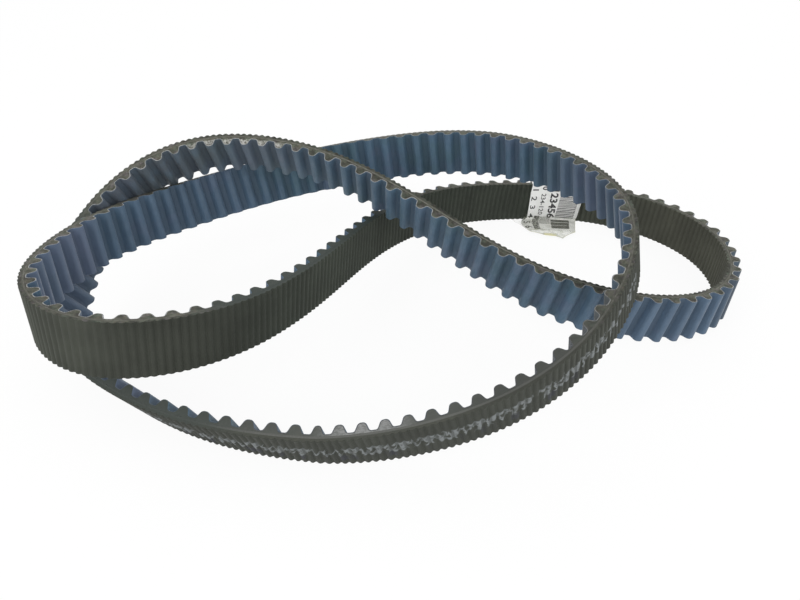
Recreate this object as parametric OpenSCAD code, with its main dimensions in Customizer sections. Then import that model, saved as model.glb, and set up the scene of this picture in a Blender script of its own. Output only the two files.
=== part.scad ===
// Endless synchronous (timing) belt, lying free on its side edge in three loops.
//
// The belt is one moulded band made of layers: a ribbed back cover, a layer of tensile
// cords, the tooth rubber and a woven facing. A paper label is stuck over it at one
// place, under clear tape. All layers follow one closed route, so they meet face to
// face all the way round. Millimetres, +Z up, the floor at z = 0, and the origin on
// the floor in the middle of the outline.

/* [Belt] */
// Number of teeth round the belt
tooth_count = 180; // [172:4:188]
// Distance from one tooth to the next, along the pitch line
tooth_pitch = 8; // [7.7:0.1:8.3]
// Width of the belt, from edge to edge
belt_w = 21; // [19:0.5:23]

/* [Teeth] */
// Height of a tooth above the land beside it
tooth_h = 3.1; // [2.8:0.1:3.7]
// Length of a tooth at its root
tooth_root_l = 5.6; // [5.2:0.1:6.2]
// Length of the flat on the tip of a tooth
tooth_tip_l = 1.5; // [1:0.1:2]
// Reach of the rounding from the flat down the flank
tip_round = 1.15; // [0.8:0.05:1.3]
// Thickness of the woven facing over teeth and lands
facing_t = 0.4; // [0.2:0.05:0.5]
// Thickness of the rubber between the cords and the facing on a land
land_t = 0.35; // [0.2:0.05:0.6]

/* [Cords] */
// Thickness of the layer of tensile cords
cord_t = 0.8; // [0.6:0.1:1]

/* [Back] */
// Thickness of the back cover, from the cords to the crests of its ribs
cover_t = 1.3; // [1:0.1:1.6]
// Depth of the grooves between the ribs
rib_h = 0.6; // [0.3:0.05:0.8]
// Number of ribs for each tooth
ribs_per_tooth = 3; // [2:1:3]

/* [Label] */
// Length of the label along the belt
label_l = 29; // [22:1:32]
// Thickness of the paper
label_t = 0.15; // [0.1:0.05:0.2]
// How far the foot of the paper is turned out over the floor
foot_reach = 12; // [9:0.5:13]
// Thickness of the clear tape
tape_t = 0.1; // [0.05:0.05:0.15]
// Height of the tape up the front of the label
tape_h = 5; // [3:0.5:8]
// How far the tape reaches out over the floor at its corner
tape_reach = 18; // [15:0.5:20]

/* [Hidden] */

// Route of the pitch line, once round, as guide points of a smooth closed curve.
// Each is [x, y, lift, lean]: its place on the floor, how far the belt's lowest edge
// stands above the floor in belt widths, and how many degrees the upper edge leans
// towards the toothed side. A lift below zero presses the belt flat on the floor.
GUIDES = [
    [-126.5,   -52,  1.66,   2],
    [  -120,     3,  1.25,  -5],
    [   -90,    40,  0.98, -19],
    [   -52,    64,  1.06, -33],
    [    -3,    74,  1.31, -12],
    [    51,    74,  1.65,   2],
    [    91,    40,  1.80,  10],
    [   111,    -5,  1.85,  20],
    [    93,   -53,  1.35,   5],
    [    52,   -87,  0.65, -12],
    [   -10,   -91, -0.10, -18],
    [   -55,   -83,  0.00, -23],
    [   -90,   -66,  0.00, -27],
    [  -123,   -41,  0.20, -27],
    [  -130,     0,  0.85, -14],
    [-107.5,    35,  1.82,  22],
    [   -69,  49.5,  2.28,  35],
    [   -16,    40,  1.96,  24],
    [    25,  10.5,  1.35,  15],
    [    63, -19.5,  0.75,   5],
    [   111,   -31,  0.30,   2],
    [   157, -13.5,  0.00,   0],
    [   168,  38.5,  0.00,   0],
    [   126,  77.5,  0.00,   0],
    [    71,    82, -0.05,   0],
    [    31,    64,  0.28,   6],
    [    -1,    27,  0.62,   0],
    [   -20,   -25,  1.05,  -4],
    [   -48,   -68,  1.45,   2],
    [   -91,   -85,  1.80,  16]
];
// Tooth at the middle of the label, as a share of the way round
LABEL_PLACE = 0.7873;
// How far the label leans along the belt for each millimetre up it
LABEL_LEAN = 0.11;
// Samples of the route between two guide points
STEPS = 24;
// Rounds of scaling that bring the route to the belt's length
FITTINGS = 4;
// Clearance between the sheets of the label, and between them and the belt
SHEET_GAP = 0.05;
// Depth of a tooth's rounding for each unit of its reach
ROUND_SLOPE = 0.65;
// Stations of the cord layer for each tooth
CORD_STATIONS = 2;
// Stations along the label
LABEL_STATIONS = 12;

pitch_l = tooth_count * tooth_pitch;      // length of the pitch line
land_h = cord_t / 2 + land_t + facing_t;  // from the pitch line to the land
tooth_side = land_h + tooth_h;            // from the pitch line to the tips
back_side = cord_t / 2 + cover_t;         // from the pitch line to the ribs' crests

// --- the route ---

function unit(v) = v / norm(v);

// Guide values at u guide steps from the first point, by a uniform cubic B-spline
function guide_at(u) =
    let (n = len(GUIDES), k = floor(u), t = u - k,
         weight = [pow(1 - t, 3), 3 * pow(t, 3) - 6 * t * t + 4,
                   -3 * pow(t, 3) + 3 * t * t + 3 * t + 1, pow(t, 3)] / 6)
    weight[0] * GUIDES[(k + n - 1) % n] + weight[1] * GUIDES[k % n]
    + weight[2] * GUIDES[(k + 1) % n] + weight[3] * GUIDES[(k + 2) % n];

// Height of the pitch line's middle: the lowest corner stands the lift above the floor
function middle_z(lift, lean) =
    (max(lift, 0) + cos(lean) / 2) * belt_w + max(tooth_side * sin(lean), -back_side * sin(lean));

function centre_at(u, scale) =
    let (g = guide_at(u)) [g[0] * scale, g[1] * scale, middle_z(g[2], g[3])];

function samples(scale) = [for (i = [0 : len(GUIDES) * STEPS]) centre_at(i / STEPS, scale)];
function path_length(p) = total_of([for (i = [1 : len(p) - 1]) norm(p[i] - p[i - 1])]);
function total_of(v) = v * [for (x = v) 1];

// Scale of the guide points at which the route is as long as the belt
function fitted_scale(scale = 1, rounds = FITTINGS) = rounds == 0 ? scale
    : fitted_scale(scale * pitch_l / path_length(samples(scale)), rounds - 1);

route_scale = fitted_scale();
route = samples(route_scale);
// Rows of [length along the route, guide steps], for placing things by length
by_length = [for (i = 0, s = 0; i < len(route);
                  i = i + 1, s = i < len(route) ? s + norm(route[i] - route[i - 1]) : s)
             [s, i / STEPS]];
route_l = by_length[len(by_length) - 1][0];

// Frame at length s: [place on the pitch line, direction across the belt towards its
// upper edge, direction towards the teeth]
function frame_at(s) =
    let (n = len(GUIDES), u = lookup((s + route_l) % route_l, by_length), e = 1 / STEPS,
         along = unit(centre_at((u + e) % n, route_scale) - centre_at((u - e + n) % n, route_scale)),
         side = unit(cross(along, [0, 0, 1])), lean = guide_at(u)[3],
         across = cos(lean) * cross(side, along) + sin(lean) * side)
    [centre_at(u, route_scale), across, cross(along, across)];

// Place of a point by its length along the belt, its height over the pitch line on
// the toothed side and its height across the belt from the middle
function place(frame, h, v) = frame[0] + v * frame[1] + h * frame[2];

// --- profiles along one tooth, as [length from the tooth's middle, height] ---

// Outline of the toothed side, or of the surface that lies skin below it
function tooth_profile(skin) =
    let (root = [tooth_root_l / 2 - skin / 2, land_h - skin],
         shoulder = [tooth_tip_l / 2 + tip_round - skin * 0.8,
                     tooth_side - ROUND_SLOPE * tip_round - skin * 0.7],
         tip = [tooth_tip_l / 2 - skin * 0.2, tooth_side - skin])
    [[-root[0], root[1]], [-shoulder[0], shoulder[1]], [-tip[0], tip[1]], tip, shoulder, root];

// Face of the cord layer on one of its sides
function cord_profile(h) = [for (i = [0 : CORD_STATIONS - 1])
    [((i + 0.5) / CORD_STATIONS - 0.5) * tooth_pitch, h]];

// Ribs and grooves of the back, in turn
function rib_profile() = let (n = 2 * ribs_per_tooth) [for (i = [0 : n - 1])
    [((i + 0.5) / n - 0.5) * tooth_pitch, -back_side + (i % 2) * rib_h]];

// --- bands between two profiles ---

// Triangles that join profiles a and b at the edge of the belt, for one tooth. Each is
// [1, i, j] with two corners on a, or [0, i, j] with two corners on b.
function stitches(a, b, i = 0, j = 0) = i == len(a) && j == len(b) ? []
    : let (next_a = i == len(a) ? 2 * tooth_pitch : i + 1 < len(a) ? a[i + 1][0] : a[0][0] + tooth_pitch,
           next_b = j == len(b) ? 2 * tooth_pitch : j + 1 < len(b) ? b[j + 1][0] : b[0][0] + tooth_pitch)
    next_a <= next_b ? concat([[1, i, j]], stitches(a, b, i + 1, j))
    : concat([[0, i, j]], stitches(a, b, i, j + 1));

function edge_points(profile) = [for (k = [0 : tooth_count - 1], p = profile)
    let (frame = frame_at(k * tooth_pitch + p[0]))
    each [place(frame, p[1], -belt_w / 2), place(frame, p[1], belt_w / 2)]];

// Closed band between profile a on the toothed side and profile b on the back side
module band(a, b) {
    na = len(a) * tooth_count;
    nb = len(b) * tooth_count;
    joins = stitches(a, b);
    low_a = function (i) 2 * (i % na);
    low_b = function (j) 2 * na + 2 * (j % nb);
    polyhedron(
        points = concat(edge_points(a), edge_points(b)),
        faces = [
            for (i = [0 : na - 1]) let (p = low_a(i), q = low_a(i + 1))
                each [[p, p + 1, q + 1], [p, q + 1, q]],
            for (j = [0 : nb - 1]) let (p = low_b(j), q = low_b(j + 1))
                each [[p, q + 1, p + 1], [p, q, q + 1]],
            for (k = [0 : tooth_count - 1], s = joins)
                let (p = low_a(k * len(a) + s[1]), q = low_b(k * len(b) + s[2]),
                     r = s[0] == 1 ? low_a(k * len(a) + s[1] + 1) : low_b(k * len(b) + s[2] + 1))
                each s[0] == 1 ? [[q + 1, r + 1, p + 1], [q, p, r]] : [[p + 1, q + 1, r + 1], [p, r, q]]
        ],
        convexity = 20);
}

// --- sheets of the label ---

// Place of a point [height, across] of a sheet, a share of the way along the label
function on_label(share, p) =
    place(frame_at(LABEL_PLACE * pitch_l + (share - 0.5) * label_l - LABEL_LEAN * (p[1] - foot)),
          p[0], p[1]);

// Solid swept along the label. section(share) gives its outline as [height, across]:
// one face of the sheet from end to end, then the other face back again.
module sheet(section) {
    n = len(section(0));
    last = n * LABEL_STATIONS;
    polyhedron(
        points = [for (i = [0 : LABEL_STATIONS]) let (share = i / LABEL_STATIONS)
            for (p = section(share)) on_label(share, p)],
        faces = [
            for (i = [0 : n / 2 - 2]) let (j = n - 1 - i)
                each [[j, j - 1, i + 1], [j, i + 1, i],
                      [last + i, last + i + 1, last + j - 1], [last + i, last + j - 1, last + j]],
            for (k = [0 : LABEL_STATIONS - 1], i = [0 : n - 1])
                let (p = k * n + i, q = k * n + (i + 1) % n)
                each [[p, q, q + n], [p, q + n, p + n]]
        ],
        convexity = 6);
}

// Bent strip: a line of [height, across] points, thickened to its left by t
function turned_strip(line, t) =
    let (n = len(line),
         left = [for (i = [0 : n - 2]) let (d = unit(line[i + 1] - line[i])) [-d[1], d[0]]],
         far = [for (i = [0 : n - 1]) line[i]
                + t * (i == 0 ? left[0] : i == n - 1 ? left[n - 2] : left[i - 1] + left[i])])
    concat(line, [for (i = [n - 1 : -1 : 0]) far[i]]);

foot = -belt_w / 2;
paper_back = -back_side - SHEET_GAP;
tape_back = paper_back - label_t - SHEET_GAP;

// Paper: up the toothed side, over the upper edge, down the back and out at the foot
function paper_section(share) = turned_strip([
    [paper_back - foot_reach, foot + label_t],
    [paper_back, foot + label_t],
    [paper_back, belt_w / 2 + SHEET_GAP],
    [tooth_side + SHEET_GAP, belt_w / 2 + SHEET_GAP],
    [tooth_side + SHEET_GAP, foot + label_t]], label_t);

// Tape: down the front of the paper and out over its foot, furthest at one corner
function tape_section(share) =
    let (corner = 0.3, less = share < corner ? (corner - share) / corner : (share - corner) / (1 - corner),
         reach = tape_reach * (1 - less / 3))
    turned_strip([
        [tape_back - reach, foot + 2 * label_t + SHEET_GAP],
        [tape_back, foot + 2 * label_t + SHEET_GAP],
        [tape_back, foot + tape_h]], tape_t);

// --- place of the origin ---

outline = concat(edge_points([[0, tooth_side]]), edge_points([[0, -back_side]]));
function middle_of(v) = (min(v) + max(v)) / 2;
origin = [middle_of([for (p = outline) p[0]]), middle_of([for (p = outline) p[1]]), 0];

module on_floor() { translate(-origin) children(); }

// --- the pieces ---

module back_cover() {
    color("#3f4138") on_floor() band(cord_profile(-cord_t / 2), rib_profile());
}

module tensile_cord_layer() {
    color("#b9b6a6") on_floor() band(cord_profile(cord_t / 2), cord_profile(-cord_t / 2));
}

module tooth_rubber() {
    color("#5a5a54") on_floor() band(tooth_profile(facing_t), cord_profile(cord_t / 2));
}

module tooth_facing() {
    color("#4a5c70") on_floor() band(tooth_profile(0), tooth_profile(facing_t));
}

module paper_label() {
    color("#e8e8e4") on_floor() sheet(function (share) paper_section(share));
}

module label_tape() {
    color("#c9cbb8") on_floor() sheet(function (share) tape_section(share));
}

back_cover();
tensile_cord_layer();
tooth_rubber();
tooth_facing();
paper_label();
label_tape();
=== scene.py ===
"""Looks of an endless timing belt that lies on its side edge in crossing loops.

The belt is one moulded band, so all its layers are lofted along one closed route: the
ribbed back cover, the tensile cords, the tooth rubber and the woven facing. A paper
label is wrapped round it at one place and held by clear tape. Lengths are millimetres
until a mesh is made.
"""

from __future__ import annotations

import logging
import math
from dataclasses import dataclass, field
from enum import Enum
from typing import Any, Optional, Sequence, Union

import bpy
import numpy as np
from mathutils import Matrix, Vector

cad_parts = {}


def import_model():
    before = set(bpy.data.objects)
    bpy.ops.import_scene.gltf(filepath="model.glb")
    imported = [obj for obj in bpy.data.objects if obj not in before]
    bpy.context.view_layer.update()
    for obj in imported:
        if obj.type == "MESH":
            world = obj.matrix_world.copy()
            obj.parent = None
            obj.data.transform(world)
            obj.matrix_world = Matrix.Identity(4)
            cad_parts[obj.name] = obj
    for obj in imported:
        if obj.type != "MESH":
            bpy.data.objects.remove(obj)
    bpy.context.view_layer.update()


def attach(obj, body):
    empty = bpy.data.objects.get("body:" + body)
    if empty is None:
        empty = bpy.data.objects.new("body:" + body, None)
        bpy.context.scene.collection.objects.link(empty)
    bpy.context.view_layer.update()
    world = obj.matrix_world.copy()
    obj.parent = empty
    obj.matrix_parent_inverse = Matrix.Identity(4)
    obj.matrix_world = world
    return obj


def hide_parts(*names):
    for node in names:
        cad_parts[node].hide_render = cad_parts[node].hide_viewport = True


LOG = logging.getLogger("timing_belt")
MM = 0.001
Colour = tuple[float, float, float]
Number = Union[int, float]
Value = Union["Wire", int, float]
Array = np.ndarray
Piece = bpy.types.Object
Print = tuple[Array, Array]
WHITE: Colour = (1.0, 1.0, 1.0)


# --- Shader building ---


class Wire:
    """An output socket with arithmetic: an expression on wires adds its Math nodes."""

    def __init__(self, board: Board, socket: Any) -> None:
        """Wraps an output socket of a node on the board."""
        self.board = board
        self.socket = socket

    def _math(self, operation: str, *values: Value) -> Wire:
        """Adds one Math node and returns its result."""
        return self.board.node("Math", {"operation": operation}, dict(enumerate(values)))

    def __add__(self, other: Value) -> Wire:
        """self + other."""
        return self._math("ADD", self, other)

    __radd__ = __add__

    def __sub__(self, other: Value) -> Wire:
        """self - other."""
        return self._math("SUBTRACT", self, other)

    def __rsub__(self, other: Number) -> Wire:
        """other - self."""
        return self._math("SUBTRACT", other, self)

    def __mul__(self, other: Value) -> Wire:
        """self * other."""
        return self._math("MULTIPLY", self, other)

    __rmul__ = __mul__

    def __truediv__(self, other: Value) -> Wire:
        """self / other."""
        return self._math("DIVIDE", self, other)

    def __rtruediv__(self, other: Number) -> Wire:
        """other / self."""
        return self._math("DIVIDE", other, self)

    def fraction(self) -> Wire:
        """The part after the point."""
        return self._math("FRACT", self)

    def floor(self) -> Wire:
        """The whole number below."""
        return self._math("FLOOR", self)

    def size(self) -> Wire:
        """The value without its sign."""
        return self._math("ABSOLUTE", self)

    def sine(self) -> Wire:
        """The sine of an angle in radians."""
        return self._math("SINE", self)

    def larger(self, other: Value) -> Wire:
        """The larger of two values."""
        return self._math("MAXIMUM", self, other)

    def ramp(self, low: Number, high: Number, start: Number = 0.0, end: Number = 1.0) -> Wire:
        """Eases from start to end as the value goes from low to high, and is held outside."""
        values = {"Value": self, "From Min": low, "From Max": high, "To Min": start, "To Max": end}
        return self.board.node("MapRange", {"interpolation_type": "SMOOTHSTEP"}, values)


class Board:
    """The node tree of a material or of the surround, and the nodes that finishes share."""

    def __init__(self, owner: Union[bpy.types.Material, bpy.types.World]) -> None:
        """Takes the owner's node tree and empties it.

        Args:
            owner: The material or world.
        """
        owner.use_nodes = True
        self.tree = owner.node_tree
        self.tree.nodes.clear()

    def add(self, kind: str, settings: Optional[dict] = None, values: Optional[dict] = None) -> Any:
        """Adds any node.

        Args:
            kind: Node type without its ShaderNode prefix.
            settings: Its properties, which are set first.
            values: Numbers, colours or wires for its sockets, by name or number.

        Returns:
            The node.
        """
        made = self.tree.nodes.new("ShaderNode" + kind)
        for name, value in (settings or {}).items():
            setattr(made, name, value)
        for name, value in (values or {}).items():
            socket = made.inputs[name]
            if isinstance(value, Wire):
                self.tree.links.new(value.socket, socket)
            elif isinstance(value, tuple) and len(socket.default_value) > len(value):
                socket.default_value = (*value, 1.0)
            else:
                socket.default_value = value
        return made

    def node(
        self,
        kind: str,
        settings: Optional[dict] = None,
        values: Optional[dict] = None,
        output: Union[str, int] = 0,
    ) -> Wire:
        """Adds any node and returns one of its outputs."""
        return Wire(self, self.add(kind, settings, values).outputs[output])

    def surface(self, **values: Any) -> Wire:
        """Adds the Principled shader, its sockets named with _ for a space."""
        named = {name.replace("_", " "): value for name, value in values.items()}
        return self.node("BsdfPrincipled", {}, named)

    def blend(self, factor: Value, first: Any, second: Any) -> Wire:
        """Mixes two colours, from the first at 0 to the second at 1."""
        return self.node("Mix", {"data_type": "RGBA"}, {0: factor, 6: first, 7: second}, 2)

    def coats(self, colour: Wire, *coats: tuple[Value, Colour]) -> Wire:
        """Lays colours over one another.

        Args:
            colour: The lowest colour.
            coats: How far each one covers what is below it, and its colour.

        Returns:
            The colour on top.
        """
        for cover, coat in coats:
            colour = self.blend(cover, colour, coat)
        return colour

    def scaled(self, colour: Wire, factor: Value) -> Wire:
        """A colour or a vector times a factor."""
        return self.node("VectorMath", {"operation": "SCALE"}, {0: colour, "Scale": factor})

    def lay(self, name: str = "lay") -> tuple[Wire, ...]:
        """Reads a place on the belt from a mesh attribute: along it, over the pitch line, across it."""
        vector = self.node("Attribute", {"attribute_name": name}, output="Vector")
        return tuple(Wire(self, part) for part in self.add("SeparateXYZ", {}, {0: vector}).outputs)

    def vector(self, *parts: Value) -> Wire:
        """Joins up to three values into a vector."""
        return self.node("CombineXYZ", {}, dict(enumerate(parts)))

    def place(self) -> Wire:
        """Object coordinates in millimetres."""
        return self.scaled(self.node("TexCoord", output="Object"), 1 / MM)

    def noise(self, where: Wire, scale: float, detail: float = 3.0, rough: float = 0.55) -> Wire:
        """Soft random values from 0 to 1, with scale cells for each unit of the coordinates."""
        values = {"Vector": where, "Scale": scale, "Detail": detail, "Roughness": rough}
        return self.node("TexNoise", {}, values)

    def by_tooth(self, s: Wire, seed: float = 0.0) -> Wire:
        """A random value for each tooth along the belt."""
        number = (s / BeltSizes.tooth_pitch + 0.5).floor() + seed
        return self.node("TexWhiteNoise", {"noise_dimensions": "1D"}, {"W": number})

    def bump(self, height: Wire, distance: float, strength: float) -> Wire:
        """Normal of a surface with fine heights, where a height of 1 is distance millimetres."""
        values = {"Height": height, "Distance": distance * MM, "Strength": strength}
        return self.node("Bump", {}, values)


# --- The belt's route ---


@dataclass(frozen=True)
class BeltSizes:
    """Sizes of the belt, in millimetres."""

    tooth_count: int = 180
    tooth_pitch: float = 8.0
    width: float = 21.0
    tooth_h: float = 3.1
    facing_t: float = 0.4
    land_t: float = 0.35
    cord_t: float = 0.8
    cover_t: float = 1.3
    rib_h: float = 0.6
    ribs_per_tooth: int = 3

    @property
    def length(self) -> float:
        """Length of the pitch line."""
        return self.tooth_count * self.tooth_pitch

    @property
    def land_h(self) -> float:
        """Height of the land over the pitch line."""
        return self.cord_t / 2 + self.land_t + self.facing_t

    @property
    def tooth_side(self) -> float:
        """Height of the tips over the pitch line."""
        return self.land_h + self.tooth_h

    @property
    def back_side(self) -> float:
        """Depth of the ribs' crests under the pitch line."""
        return self.cord_t / 2 + self.cover_t


# Guide points of the route: x, y, lift of the lowest edge in belt widths, lean in degrees
GUIDES = (
    (-126.5, -52, 1.66, 2),
    (-120, 3, 1.25, -5),
    (-90, 40, 0.98, -19),
    (-52, 64, 1.06, -33),
    (-3, 74, 1.31, -12),
    (51, 74, 1.65, 2),
    (91, 40, 1.80, 10),
    (111, -5, 1.85, 20),
    (93, -53, 1.35, 5),
    (52, -87, 0.65, -12),
    (-10, -91, -0.10, -18),
    (-55, -83, 0.00, -23),
    (-90, -66, 0.00, -27),
    (-123, -41, 0.20, -27),
    (-130, 0, 0.85, -14),
    (-107.5, 35, 1.82, 22),
    (-69, 49.5, 2.28, 35),
    (-16, 40, 1.96, 24),
    (25, 10.5, 1.35, 15),
    (63, -19.5, 0.75, 5),
    (111, -31, 0.30, 2),
    (157, -13.5, 0.00, 0),
    (168, 38.5, 0.00, 0),
    (126, 77.5, 0.00, 0),
    (71, 82, -0.05, 0),
    (31, 64, 0.28, 6),
    (-1, 27, 0.62, 0),
    (-20, -25, 1.05, -4),
    (-48, -68, 1.45, 2),
    (-91, -85, 1.80, 16),
)


def unit(vectors: Array) -> Array:
    """Vectors of length 1 in the same directions."""
    return vectors / np.linalg.norm(vectors, axis=-1, keepdims=True)


def run_along(points: Array) -> Array:
    """Distance run along a line of points up to each of them."""
    return np.concatenate([[0.0], np.cumsum(np.linalg.norm(np.diff(points, axis=0), axis=1))])


@dataclass
class Route:
    """The closed line that the belt's pitch line follows, and the belt's frame along it."""

    sizes: BeltSizes
    guides: Sequence[Sequence[float]] = GUIDES
    steps: int = 24
    fittings: int = 4
    scale: float = field(init=False, default=1.0)
    table_s: Array = field(init=False, repr=False)
    table_u: Array = field(init=False, repr=False)
    origin: Array = field(init=False, repr=False)

    def __post_init__(self) -> None:
        """Scales the route to the belt's length and finds the middle of its outline."""
        self.table_u = np.arange(len(self.guides) * self.steps + 1) / self.steps
        for _ in range(self.fittings):
            self.scale *= self.sizes.length / self._lengths()[-1]
        self.table_s = self._lengths()
        self.origin = np.zeros(3)
        teeth = np.arange(self.sizes.tooth_count) * self.sizes.tooth_pitch
        half = self.sizes.width / 2
        heights = (self.sizes.tooth_side, -self.sizes.back_side)
        corners = np.vstack([self.place(teeth, height, v) for height in heights for v in (-half, half)])
        middle = (corners.min(axis=0) + corners.max(axis=0)) / 2
        self.origin = np.array([middle[0], middle[1], 0.0])

    def _lengths(self) -> Array:
        """Length along the sampled route up to each sample."""
        return run_along(self.centre(self.table_u))

    def values(self, u: Array) -> Array:
        """Guide values by a uniform cubic B-spline.

        Args:
            u: Guide steps from the first guide point.

        Returns:
            Rows of x, y, lift and lean.
        """
        guides = np.array(self.guides, float)
        k = np.floor(u).astype(int)
        t = u - k
        weights = ((1 - t) ** 3, 3 * t**3 - 6 * t**2 + 4, -3 * t**3 + 3 * t**2 + 3 * t + 1, t**3)
        rows = (guides[(k + shift - 1) % len(guides)] for shift in range(4))
        return sum(weight[:, None] * row for weight, row in zip(weights, rows)) / 6

    def centre(self, u: Array) -> Array:
        """Places of the middle of the belt's pitch line.

        Args:
            u: Guide steps.

        Returns:
            Points, so high that the lowest edge has its lift.
        """
        x, y, lift, lean = self.values(u).T
        lean = np.radians(lean)
        low = np.maximum(self.sizes.tooth_side * np.sin(lean), -self.sizes.back_side * np.sin(lean))
        height = (np.maximum(lift, 0) + np.cos(lean) / 2) * self.sizes.width + low
        return np.column_stack([x * self.scale, y * self.scale, height])

    def frames(self, s: Array) -> tuple[Array, Array, Array]:
        """Frames of the belt at lengths along it.

        Args:
            s: Lengths from the first tooth's middle.

        Returns:
            Places on the pitch line, directions across the belt and towards the teeth.
        """
        u = np.interp(np.mod(s, self.table_s[-1]), self.table_s, self.table_u)
        count, step = len(self.guides), 1 / self.steps
        along = unit(self.centre(np.mod(u + step, count)) - self.centre(np.mod(u - step, count)))
        side = unit(np.cross(along, [0.0, 0.0, 1.0]))
        lean = np.radians(self.values(u)[:, 3])[:, None]
        across = np.cos(lean) * np.cross(side, along) + np.sin(lean) * side
        return self.centre(u), across, np.cross(along, across)

    def place(self, s: Any, height: Any, across: Any) -> Array:
        """Points on the belt, in the model's frame.

        Args:
            s: Lengths along the belt.
            height: Heights over the pitch line, towards the teeth.
            across: Distances from the middle, towards the upper edge.

        Returns:
            Points in millimetres.
        """
        s, height, across = np.broadcast_arrays(*(np.asarray(part, float) for part in (s, height, across)))
        middle, cross, toward = self.frames(s.ravel())
        points = middle + across.ravel()[:, None] * cross + height.ravel()[:, None] * toward
        return (points - self.origin).reshape(*s.shape, 3)


# --- Meshes ---


def linked(name: str, data: Any) -> Piece:
    """Makes an object and links it to the scene.

    Args:
        name: Its name.
        data: Its mesh, lamp, camera or curve.

    Returns:
        The object.
    """
    made = bpy.data.objects.new(name, data)
    bpy.context.scene.collection.objects.link(made)
    return made


def add_mesh(
    name: str,
    points: Array,
    faces: Array,
    kinds: Optional[Array] = None,
    lays: Optional[dict[str, Array]] = None,
    sharp: float = 32.0,
) -> Piece:
    """Makes an object from arrays of points and faces that all have as many corners.

    Args:
        name: Name of the piece.
        points: Points in millimetres.
        faces: Rows of point numbers.
        kinds: Material number of each face.
        lays: Vectors for each corner of each face, by attribute name.
        sharp: Edges bent by more degrees than this stay sharp.

    Returns:
        The object, linked to the scene.
    """
    mesh = bpy.data.meshes.new(name)
    mesh.vertices.add(len(points))
    mesh.vertices.foreach_set("co", (points * MM).astype(np.float32).ravel())
    mesh.loops.add(faces.size)
    mesh.loops.foreach_set("vertex_index", faces.astype(np.int32).ravel())
    mesh.polygons.add(len(faces))
    mesh.polygons.foreach_set("loop_start", np.arange(0, faces.size, faces.shape[1], dtype=np.int32))
    mesh.polygons.foreach_set("use_smooth", np.ones(len(faces), bool))
    if kinds is not None:
        mesh.polygons.foreach_set("material_index", kinds.astype(np.int32))
    mesh.update(calc_edges=True)
    for title, rows in (lays or {}).items():
        made = mesh.attributes.new(title, "FLOAT_VECTOR", "CORNER")
        made.data.foreach_set("vector", rows.astype(np.float32).ravel())
    mesh.set_sharp_from_angle(angle=math.radians(sharp))
    return linked(name, mesh)


@dataclass
class Chain:
    """A line of points along the whole belt, as lengths and heights, with the distance run."""

    s: Array
    h: Array
    run: Array

    @classmethod
    def repeated(cls, tooth: Sequence[Sequence[float]], sizes: BeltSizes) -> Chain:
        """Repeats one tooth's line round the belt.

        Args:
            tooth: Lengths from the tooth's middle and heights.
            sizes: The belt's sizes.

        Returns:
            The closed chain.
        """
        one = np.array(tooth, float)
        runs = run_along(np.vstack([one, one[:1] + [sizes.tooth_pitch, 0]]))
        teeth = np.arange(sizes.tooth_count)[:, None]
        s = (teeth * sizes.tooth_pitch + one[:, 0]).ravel()
        return cls(s, np.tile(one[:, 1], sizes.tooth_count), (teeth * runs[-1] + runs[:-1]).ravel())

    def between(self, other: Chain, share: float) -> Chain:
        """The chain that lies a share of the way to another one."""
        return Chain(self.s + share * (other.s - self.s), self.h + share * (other.h - self.h), self.run)

    def level(self, height: float) -> Chain:
        """The chain's stations at one height."""
        return Chain(self.s, np.full_like(self.h, height), self.run)


class Side(Enum):
    """Surfaces of a layer, each with its own finish."""

    FACE = 0
    CUT = 1
    INNER = 2


@dataclass
class Layer:
    """One layer of the belt, lofted round the route between two chains."""

    name: str
    node: str
    slot: str
    outer: Chain
    inner: Chain
    rows: int = 4
    edge: float = 0.1
    edge_share: float = 0.1

    def ring(self, half: float) -> list[tuple[Chain, float, Side]]:
        """Rows of points round the layer.

        Args:
            half: Half of the belt's width.

        Returns:
            Each row's chain, its distance across, and the surface that starts there.
        """
        rim = self.outer.between(self.inner, self.edge_share)
        steps = np.linspace(-half + self.edge, half - self.edge, self.rows + 1)
        ring = [(self.outer, v, Side.FACE) for v in steps]
        ring += [(rim, half, Side.CUT), (self.inner, half, Side.INNER)]
        return ring + [(self.inner, -half, Side.CUT), (rim, -half, Side.FACE)]

    def build(self, route: Route) -> Piece:
        """Lofts the layer as one closed band.

        Args:
            route: The belt's route.

        Returns:
            The band, with its places on the belt stored at its corners.
        """
        ring = self.ring(route.sizes.width / 2)
        count, around = len(self.outer.s), len(ring)
        s, h, run = np.stack([(chain.s, chain.h, chain.run) for chain, _, _ in ring], axis=-1)
        v = np.broadcast_to(np.array([across for _, across, _ in ring]), s.shape)
        i, j = np.meshgrid(np.arange(count), np.arange(around), indexing="ij")
        corners = [(i, j), (i + 1, j), (i + 1, j + 1), (i, j + 1)]
        # the toothed side's ring turns the other way round than the back's
        if self.outer.h.mean() < self.inner.h.mean():
            corners.reverse()
        faces = np.stack([(a % count) * around + b % around for a, b in corners], axis=-1).reshape(-1, 4)
        total = route.sizes.length
        closing = total + self.outer.s[0] - self.outer.s[-1]
        wraps = [(a == count, (a % count, b % around)) for a, b in corners]

        def stored(values: Array, whole: float) -> Array:
            """Vectors for the faces' corners, with a whole turn added where the band closes."""
            rows = [np.stack([values[at] + over * whole, h[at], v[at]], axis=-1) for over, at in wraps]
            return np.stack(rows, axis=-2).reshape(-1, 3)

        return add_mesh(
            self.name,
            route.place(s, h, v).reshape(-1, 3),
            faces,
            np.tile([side.value for _, _, side in ring], count),
            {"lay": stored(s, total), "cloth": stored(run, self.outer.run[-1] + closing)},
        )


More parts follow.
